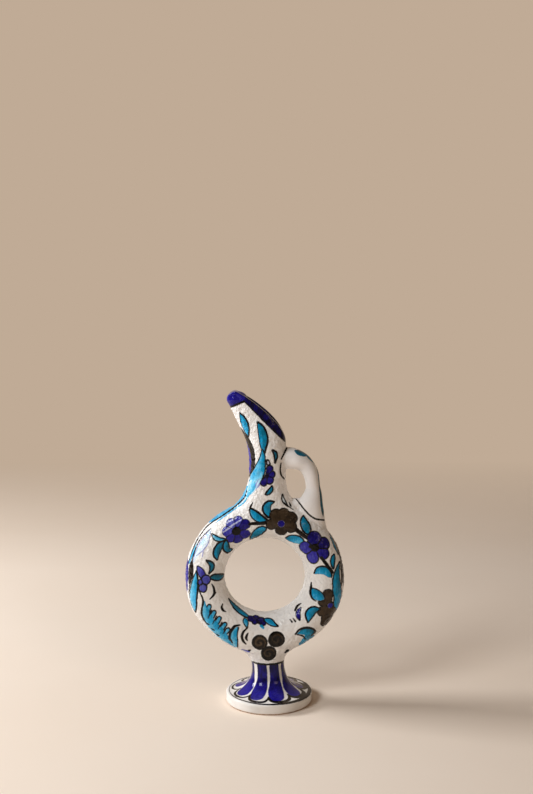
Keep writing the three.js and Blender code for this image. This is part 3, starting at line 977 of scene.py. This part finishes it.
# %% Ring motifs, right
# stem and leaves
line([(35.6, 93, 2), (39.3, 88, 2.1), (42.5, 83.5, 2)])
leaf([(43.5, 94.5, 1.3), (42.9, 92.2, 2.6), (42.7, 89.3, 2.4), (43.2, 86.2, 0.7)], (1.1, 1.1), (0.5, 0.55))
leaf([
    (31.3, 82.8, 0.8), (34.4, 84.7, 4.8), (37.9, 84.4, 5), (40.5, 82, 3.4), (41.8, 80.3, 0.6),
], (1.2, 0), (0.4, 0.6))
leaf([
    (47, 90.1, 0.4), (45.8, 85, 2.4), (45.1, 79.2, 4.4), (45.4, 73.4, 5.2), (46, 68.3, 4.6),
    (45.7, 63.2, 3.2), (44.8, 59.6, 0.7),
], (1.0, 1.0), (0.6, 0.5))
leaf([
    (40.5, 109.2, 0.4), (42.3, 105.2, 1.3), (44.1, 100.5, 1.4), (45.9, 95.8, 0.5),
], (0.5, 0.5), (0.75, 0.65))
# dark lines on the edge
rim("black", [
    (40, 110.6, 0.2), (43.6, 104, 0.6), (46.8, 96, 0.7), (48.9, 89.3, 0.8), (50, 83.6, 0.9),
    (50.3, 78, 0.7), (50.1, 73, 0.2),
], (0.9, 0.9))
dab("black", seen([
    (47.6, 90.6, 0.6), (48.6, 84.6, 1.5), (48.9, 79.2, 1.4), (48.3, 74.1, 0.3),
]), tone=(0.7, 0.5))
# dark blossom with a blue heart, and its leaves
blossom((40.8, 61.8, 5.6), [
    (39.7, 69.2, 6.8, 0.4), (36.6, 64.2, 6.4, 0.46), (36.2, 58.1, 6.4, 0.4), (38.6, 53.4, 6, 0.46),
    (41.6, 57.4, 6, 0.4),
], "black", seam=0, outline=0.5)
strokes((0.2, 0.2), [(41.4, 61.8, 3.2)])
strokes((0.5, 0.5), [(41.4, 61.8, 2.5)])
leaf([(28.9, 72.2, 1.4), (31.1, 69.8, 5.8), (33.9, 68.1, 6), (36.4, 66.8, 2.6)], (0.9, 0.2), (0.45, 0.55))
line([(29.2, 76.7, 0.7), (29, 73.7, 1.5), (28.6, 70.2, 1.5), (29.8, 66.6, 1.1), (32.2, 64.6, 0.6)])
leaf([(34.2, 59.5, 1.2), (30.4, 58.6, 4.8), (28.1, 55.9, 5.2), (27.3, 51.1, 0.8)], (0.8, 1.3), (0.7, 0.5))
# bud and commas
leaf([
    (22.5, 60.2, 0.6), (21, 57.8, 2.4), (20.9, 55.2, 2.8), (21.8, 52.4, 0.8),
], (0.6, 0.7), (0.4, 0.75), colour="cobalt")
line([(22.6, 63.1, 0.6), (20.3, 61.5, 1.4), (19, 58.9, 1.3)])
line([(15.6, 52.7, 0.6), (17, 50.9, 1)])
line([(17.6, 53.4, 0.6), (19.1, 51.3, 1)])
# curled leaf
leaf([(20.7, 43.4, 0.7), (24.6, 44.7, 3.7), (27.7, 44.3, 5), (29.4, 44.2, 3.6)], (0, 0), (0.5, 0.6))
leaf([(27.8, 42, 4), (26, 39.5, 3.2), (22.1, 36.5, 0.6)], (0, 0), (0.6, 0.5))
line([
    (19.2, 43.1, 1.1), (21.7, 45.9, 1.3), (25.6, 47.2, 1.5), (29.9, 46.6, 1.4), (31.7, 44.8, 1.2),
    (30, 42.5, 0.8),
])
line([(20.3, 42.8, 0.8), (23.9, 41.7, 1), (25.6, 39.5, 0.7)])
print(len(dabs), "dabs with the right of the ring")

# %% Foot motifs
petals = [  # degrees round the foot from its front: on the stem, and at the petal's broad end
    (-75, -61), (-24, -25), (24, 15), (71, 58), (113, 99), (150, 138), (187, 178), (220, 213), (253, 254),
]
petal = [  # share of the way from stem to end, share up the bell, width
    (0, 1.12, 6.2), (0.1, 0.75, 6.6), (0.45, 0.58, 8.2), (0.8, 0.44, 9.4), (1, 0.32, 9.2),
]
scallop = [  # share of the way round a petal's end, share up the bell, width
    (0, 0.31, 1), (0.06, 0.22, 1.8), (0.22, 0.14, 2.5), (0.5, 0.115, 2.8),
    (0.78, 0.14, 2.5), (0.94, 0.22, 1.8), (1, 0.31, 1),
]
usual_top, usual_end, widest = 96, 78, 1.06  # degrees that two petals take up, and the most they spread
scallop_shift, waist_line, whole_turn = 4, 1.115, range(0, 375, 15)


def wave(degrees):
    """A swing from -1 to 1 round the foot."""
    return math.sin(math.radians(degrees))


def foot_stroke(points, tone=0.9):
    """A dark line on the foot."""
    dab("black", foot_line(points), tone=(tone, tone), over=False)


neighbours = list(zip(petals[-1:] + petals[:-1], petals, petals[1:] + petals[:1]))
for before, (top, end), after in neighbours:
    room_top, room_end = (after[0] - before[0]) % 360 / usual_top, (after[1] - before[1]) % 360 / usual_end
    dab("cobalt", foot_line([
        (between(top, end, share), up, wide * min(widest, between(room_top, room_end, share)))
        for share, up, wide in petal
    ]), tone=(0.88, 0.6))
for before, (_, end), after in neighbours:
    left = end - (end - before[1]) % 360 / 2 + scallop_shift
    right = end + (after[1] - end) % 360 / 2 + scallop_shift
    bold = 0.8 + 0.3 * wave(end + 20)
    foot_stroke([(between(left, right, share), up, bold * wide) for share, up, wide in scallop])
foot_stroke([(a, 0.05 - 0.01 * wave(a), 1.5 + 1.1 * wave(a + 10)) for a in whole_turn])
foot_stroke([(a, waist_line, 1.2) for a in whole_turn], 0.95)
print(len(dabs), "dabs with the foot")

# %% [markdown]
# ## Laying the paint on
# Each piece gets the distance to every colour as an attribute of its vertices, and how dense that
# colour is there. A new dab covers what lies under it: the colours below are cut away inside its
# edge, so a blossom sits on its stem and not the other way round. Last comes the band of cobalt round
# the mouth, which is painted over the lip and the tip with a broad brush.


# %% Distance to a line
def reach_of(path, spots, facing):
    """Distance to a line's edge in mm (inside is negative), share along it, and its side at each spot."""
    start, step = path[:-1], np.diff(path, axis=0)
    along = np.einsum("nki,ki->nk", spots[:, None] - start[None, :, :3], step[:, :3])
    along = np.clip(along / np.maximum((step[:, :3] ** 2).sum(1), 1e-9), 0, 1)
    nearest = start[None] + along[..., None] * step[None]
    away = spots[:, None] - nearest[..., :3]
    gap = np.linalg.norm(away, axis=2) - nearest[..., 3] / 2
    best, row = gap.argmin(1), np.arange(len(spots))
    side = (np.cross(facing, step[best, :3]) * away[row, best]).sum(1)
    side /= np.linalg.norm(step[best, :3], axis=1) * np.maximum(nearest[row, best, 3] / 2, 0.3)
    return gap[row, best], (best + along[row, best]) / len(step), np.clip(side, -1, 1)


# %% Lay one dab
FAR = 3.0  # mm, past which no distance is kept
COLOURS = ("turquoise", "cobalt", "black")
line_tone, edge_share, swirl_turn = 0.95, 0.4, 1.9
dab_rim, line_rim = 0.4, 0.2  # mm past its edge in which a dab or a line still sets the density


def lay(layer, where, gap, tone, limit):
    """Adds a shape to a colour's layer, with its density where it lies on top."""
    layer["density"][where] = np.where(gap < limit, tone, layer["density"][where])
    layer["distance"][where] = np.minimum(layer["distance"][where], gap)


def lay_dab(layers, one, spots, facing):
    """Lays a dab on the vertices near it: its colour, its dark outline and the seams of its petals."""
    points = np.vstack(one["lines"])
    margin = points[:, 3].max() / 2 + FAR
    low, high = points[:, :3].min(0) - margin, points[:, :3].max(0) + margin
    near = ((spots > low) & (spots < high)).all(1)
    if not near.any():
        return
    reaches = [reach_of(path, spots[near], facing[near]) for path in one["lines"]]
    gaps = [reach[0] for reach in reaches]
    gap, *others = np.sort(gaps, axis=0)
    _, along, side = reaches[0]
    tones = one["tones"][np.argmin(gaps, axis=0)]
    tone = between(tones[:, 0], tones[:, 1], along) + one["lean"] * side
    if one["swirl"]:
        away = spots[near] - points[0, :3]
        spin = np.arctan2(away[:, 2], away[:, 0]) + np.linalg.norm(away, axis=1) * swirl_turn
        tone = tone - one["swirl"] * np.sin(spin)
    mine, dark = layers[one["colour"]], layers["black"]
    limit = mine["distance"][near]
    if one["over"]:
        limit = np.maximum(limit, dab_rim)
        for layer in layers.values():
            if layer is not mine:
                layer["distance"][near] = np.maximum(layer["distance"][near], -gap)
    lay(mine, near, gap, tone, limit)
    if max(one["edge"]) > 0:
        outline = np.abs(gap) - np.where(side > 0, *one["edge"]) * edge_share
        lay(dark, near, outline, line_tone, np.maximum(dark["distance"][near], line_rim))
    if one["seam"]:
        seam = np.maximum((others[0] - gap) / 2, gap) - one["seam"] / 2
        lay(dark, near, seam, line_tone, np.maximum(dark["distance"][near], line_rim))


# %% Lay the band of the mouth
band_foot, lip_tone, tip_tone = 166, 0.93, 0.64
# the dark line under the tip is a painted line and partly painted shade under the bead, so it is drawn wide
tip_shade_line_half, tip_line_end, lip_line_half = 0.65, 0.3, 0.35


def lay_band(layers, spots):
    """The dense cobalt on the lip and on the tip, each with a dark line along it. The line under the tip is
    drawn thick, partly as painted shade under the bead.
    """
    x, _, z = spots.T
    on_lip = np.maximum((lip_line - (x + z)) / math.sqrt(2), band_foot - z)
    on_tip = np.maximum((tip_line - (z - tip_slope * x)) / math.hypot(1, tip_slope), band_foot - z)
    band = np.clip(np.minimum(on_lip, on_tip), -FAR, FAR)
    for layer in layers.values():
        layer["distance"] = np.maximum(layer["distance"], -band)
    cobalt, dark, everywhere = layers["cobalt"], layers["black"], slice(None)
    lay(cobalt, everywhere, band, np.where(on_tip < on_lip, tip_tone, lip_tone), cobalt["distance"])
    tip_edge_and_shade = np.maximum(np.abs(on_tip) - tip_shade_line_half, -on_lip - tip_line_end)
    lip_edge = np.maximum(np.abs(on_lip) - lip_line_half, -on_tip)
    for outline in (tip_edge_and_shade, lip_edge):
        lay(dark, everywhere, outline, line_tone, dark["distance"])


# %% Paint the pieces
def paint(piece, mirror_from=28.5):
    """Writes the distance to each colour and its density on a piece's vertices."""
    mesh = piece.data
    spots, facing = np.empty(len(mesh.vertices) * 3), np.empty(len(mesh.vertices) * 3)
    mesh.vertices.foreach_get("co", spots)
    mesh.vertices.foreach_get("normal", facing)
    spots, facing = spots.reshape(-1, 3) / mm, facing.reshape(-1, 3)
    behind = (spots[:, 1] > 0) & (spots[:, 2] >= mirror_from)
    spots[behind, 1] *= -1
    facing[behind, 1] *= -1
    layers = {
        colour: {"distance": np.full(len(spots), FAR), "density": np.full(len(spots), 0.5)}
        for colour in COLOURS
    }
    for one in dabs:
        lay_dab(layers, one, spots, facing)
    above_foot, cobalt = spots[:, 2] - waist_line * waist, layers["cobalt"]
    cut = np.maximum(cobalt["distance"], above_foot)
    cobalt["distance"] = np.where(above_foot < FAR, cut, cobalt["distance"])
    lay_band(layers, spots)
    for colour, layer in layers.items():
        for label, values in ((colour, layer["distance"]), (colour + "_density", layer["density"])):
            made = mesh.attributes.new(label, "FLOAT", "POINT")
            made.data.foreach_set("value", values.astype(np.float32))
    covered = {colour: int((layer["distance"] < 0).sum()) for colour, layer in layers.items()}
    print(piece.name, covered, "painted vertices")


for piece in pieces.values():
    paint(piece)

# %% [markdown]
# ## Shader maths
# A material is a tree of nodes. One small class wraps a socket, so that sums and products of
# sockets can be written as plain expressions, and one method adds any other node.


# %% Socket class
class Value:
    """A socket in a material. Arithmetic on it adds the Math nodes that work it out."""

    def __init__(self, tree, socket=None):
        self.tree, self.socket = tree, socket

    def node(self, kind, settings=None, inputs=None, output=0):
        """Adds a node: its settings first, then the values or links of its sockets."""
        made = self.tree.nodes.new(kind)
        for setting, value in (settings or {}).items():
            if setting == "stops":
                stops = made.color_ramp.elements
                while len(stops) < len(value):
                    stops.new(0.5)
                for stop, (place, colour) in zip(stops, value):
                    stop.position, stop.color = place, ink(*colour)
            else:
                setattr(made, setting, value)
        for name, value in (inputs or {}).items():
            if isinstance(value, Value):
                self.tree.links.new(value.socket, made.inputs[name])
            else:
                made.inputs[name].default_value = value
        return Value(self.tree, made.outputs[output])

    def math(self, operation, first, second=0.0, clamp=False):
        settings = {"operation": operation, "use_clamp": clamp}
        return self.node("ShaderNodeMath", settings, {0: first, 1: second})

    def __add__(self, other):
        return self.math("ADD", self, other)

    def __sub__(self, other):
        return self.math("SUBTRACT", self, other)

    def __rsub__(self, other):
        return self.math("SUBTRACT", other, self)

    def __mul__(self, other):
        return self.math("MULTIPLY", self, other)

    __radd__, __rmul__ = __add__, __mul__

    def most(self, other):
        return self.math("MAXIMUM", self, other)

    def clamp(self):
        return self.math("ADD", self, 0.0, clamp=True)

    def over(self, below, cover):
        """This colour laid over another where cover is 1."""
        return self.node("ShaderNodeMix", {"data_type": "RGBA"}, {0: cover, 6: below, 7: self}, 2)

    def ramp(self, *stops):
        """The colour of this value on a ramp of (place, (red, green, blue)) stops."""
        return self.node("ShaderNodeValToRGB", {"stops": stops}, {0: self})


def ink(*colour):
    """A colour given as it looks on a screen, 0 to 255, in the shader's own scale."""
    linear = [v / 255 / 12.92 if v < 11 else ((v / 255 + 0.055) / 1.055) ** 2.4 for v in colour]
    return (*linear, 1.0)


def new_finish(name):
    """A new material, its tree and its shader."""
    material = bpy.data.materials.new(name)
    material.use_nodes = True
    return material, Value(material.node_tree), material.node_tree.nodes["Principled BSDF"]


# %% [markdown]
# ## Painted glaze
# The white ground is a thick tin glaze with a stippled, slightly pitted skin. The colours melt into
# it and lie smooth. Each colour runs from a thin pale wash to a dense layer, with the streaks of a
# soft brush, so a ramp turns density into colour and a stretched noise shifts it. The stipple is a
# bump that fades out where there is paint.

# %% Colours
washes = {  # how soft its edge is in mm, how streaky it is, and its look from thin (0) to dense (1)
    "turquoise": (0.22, 0.75, (
        (0.0, (220, 234, 242)), (0.2, (112, 198, 232)), (0.42, (8, 152, 204)),
        (0.65, (6, 118, 154)), (0.85, (8, 90, 110)), (1.0, (12, 62, 74)),
    )),
    "cobalt": (0.2, 0.6, (
        (0.0, (205, 208, 232)), (0.2, (98, 104, 188)), (0.42, (46, 40, 156)),
        (0.65, (27, 20, 126)), (0.85, (15, 9, 80)), (1.0, (9, 6, 36)),
    )),
    "black": (0.2, 0.5, (
        (0.0, (122, 102, 78)), (0.3, (72, 57, 41)), (0.6, (32, 23, 15)), (0.9, (13, 9, 6)),
    )),
}
# a brown band round the lowest millimetre of the foot, rougher than the glaze
brown_rim_colours = (0.3, (150, 116, 88)), (0.7, (186, 152, 122))
white_darker, white_lighter, brown_rim_height = 9, 4, 0.0011


# %% Glaze
def glaze(name, ground, stipple, streak_turn=(0.5, 0.2, 0.8)):
    """The painted glaze on this ground colour. Roughness, bump and edges vary with small noises."""
    material, pot, shader = new_finish(name)
    place = pot.node("ShaderNodeTexCoord", output="Object")

    def noise(scale, detail=2.0, rough=0.5, vector=place):
        sockets = {"Vector": vector, "Scale": scale, "Detail": detail, "Roughness": rough}
        return pot.node("ShaderNodeTexNoise", inputs=sockets)

    def attribute(label):
        return pot.node("ShaderNodeAttribute", {"attribute_name": label}, output="Fac")

    waver = (noise(420.0) - 0.5) * 0.45 + (noise(1500.0) - 0.5) * 0.3 - 0.08
    stretch = {"Vector": place, "Rotation": streak_turn, "Scale": (1500.0, 1500.0, 190.0)}
    streak = noise(1.0, 3.0, 0.6, pot.node("ShaderNodeMapping", inputs=stretch)) - 0.5
    pool = noise(260.0, 2.0) - 0.5
    colour = noise(90.0, 4.0).ramp(
        (0.3, [v - white_darker for v in ground]), (0.5, ground),
        (0.75, [min(255, v + white_lighter) for v in ground]),
    )
    painted = None  # 1 under any of the colours
    for label, (soft, streaky, stops) in washes.items():
        cover = ((soft - (attribute(label) + waver)) * (0.5 / soft)).clamp()
        dense = attribute(label + "_density")
        dense = dense + (streak * streaky + pool * 0.5) * (dense + 0.25)
        colour = dense.ramp(*stops).over(colour, cover)
        painted = cover if painted is None else painted.most(cover)
    height = pot.node("ShaderNodeSeparateXYZ", inputs={0: place}, output="Z")
    # 1 on the lowest millimetre of the foot, which turns brown and rougher
    brown_rim = ((brown_rim_height + waver * 0.0012 - height) * 2500.0).clamp()
    colour = noise(700.0, 4.0).ramp(*brown_rim_colours).over(colour, brown_rim)
    pits = noise(620.0, 1.5, 0.4) * 0.7 + noise(1150.0, 1.0) * 0.3
    relief = (pits - 0.5) * (stipple * (1.0 - painted * 0.8)) + painted * 0.12
    bump = pot.node("ShaderNodeBump", inputs={"Strength": 1.0, "Distance": 0.0009, "Height": relief})
    rough = 0.14 + (noise(300.0) - 0.5) * 0.1 + brown_rim * 0.5 - painted * 0.05
    for socket, value in (("Base Color", colour), ("Roughness", rough), ("Normal", bump)):
        pot.tree.links.new(value.socket, shader.inputs[socket])
    shader.inputs["IOR"].default_value, shader.inputs["Specular IOR Level"].default_value = 1.5, 0.22
    print(name, len(pot.tree.nodes), "nodes")
    return material


# %% Glaze the pieces
# The white differs a little per piece: the foot's is darker as painted shade, and the neck's and the handle's
# are lighter as painted light.
ring_glaze = glaze("stippled_ring_glaze", (240, 238, 235), 0.6)
finish_of = {
    "ring_front": ring_glaze,
    "ring_back": ring_glaze,
    "neck_beak": glaze("stippled_neck_glaze", (241, 239, 237), 0.7, (0.1, 0.4, 0.2)),
    "foot_pedestal": glaze("smooth_foot_glaze", (232, 228, 223), 0.12, (0.0, 0.0, 0.0)),
    "handle_loop": glaze("smooth_handle_glaze", (243, 240, 238), 0.15, (0.3, 0.0, 0.5)),
}
for name, piece in pieces.items():
    piece.data.materials.clear()
    piece.data.materials.append(finish_of[name])

# %% [markdown]
# ## Floor and room
# The floor is matt and pale. Behind the pot it fades into a plain wall colour, and the room round it
# has the same colour, dimmer in the glaze because a real room is darker than its wall. Both only look
# so, to the camera and in reflections: the Light Path node tells those rays from the ones that carry
# light, so the pale background adds no light to the pot.


# %% Floor finish
def looked_at(tree, mirrored=1.0):
    """1 for the rays that look at a thing, straight or in a mirror, and 0 for those that carry light."""
    rays = ("Is Camera Ray", "Is Glossy Ray", "Is Transmission Ray")
    straight, glossy, through = (tree.node("ShaderNodeLightPath", output=ray) for ray in rays)
    return (straight + glossy * mirrored + through).clamp()


def show_where(share, shown, lit, output):
    """Shows one shader where share is 1, and the lit shader of a node elsewhere."""
    inputs = {0: share, 1: Value(share.tree, lit.outputs[0]), 2: shown}
    mixed = share.node("ShaderNodeMixShader", inputs=inputs)
    share.tree.links.new(mixed.socket, share.tree.nodes[output].inputs["Surface"])


wall_look = {"Color": ink(192, 171, 150), "Strength": 1.0}
floor, ground, floor_shader = new_finish("pale_floor")
place = ground.node("ShaderNodeTexCoord", output="Object")
mottle = ground.node("ShaderNodeTexNoise", inputs={"Scale": 3.0, "Detail": 4.0, "Vector": place})
tint = mottle.ramp((0.3, (240, 223, 205)), (0.7, (245, 230, 214)))
ground.tree.links.new(tint.socket, floor_shader.inputs["Base Color"])
floor_shader.inputs["Roughness"].default_value = 0.8
depth = ground.node("ShaderNodeSeparateXYZ", inputs={0: place}, output="Y")
backdrop = ground.node("ShaderNodeEmission", inputs=wall_look)
fade = (depth * 1.6 - 0.5).clamp()
show_where(fade * looked_at(ground), backdrop, floor_shader, "Material Output")
sweep.data.materials.append(floor)
print("floor", len(ground.tree.nodes), "nodes")

# %% Room finish
room = Value(world.node_tree)
wall = room.node("ShaderNodeBackground", inputs=wall_look)
show_where(looked_at(room, 0.3), wall, dim_light, "World Output")
print("room", len(room.tree.nodes), "nodes")

# %% [markdown]
# ## Finish
# The box of the finished carafe is printed beside the CAD model's own box, so that the two sizes can be
# compared.

# %% Sizes and finish
made_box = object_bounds()
for label, (low, high) in (("size", made_box), ("CAD", cad_box)):
    print(label, in_mm(b - a for a, b in zip(low, high)))
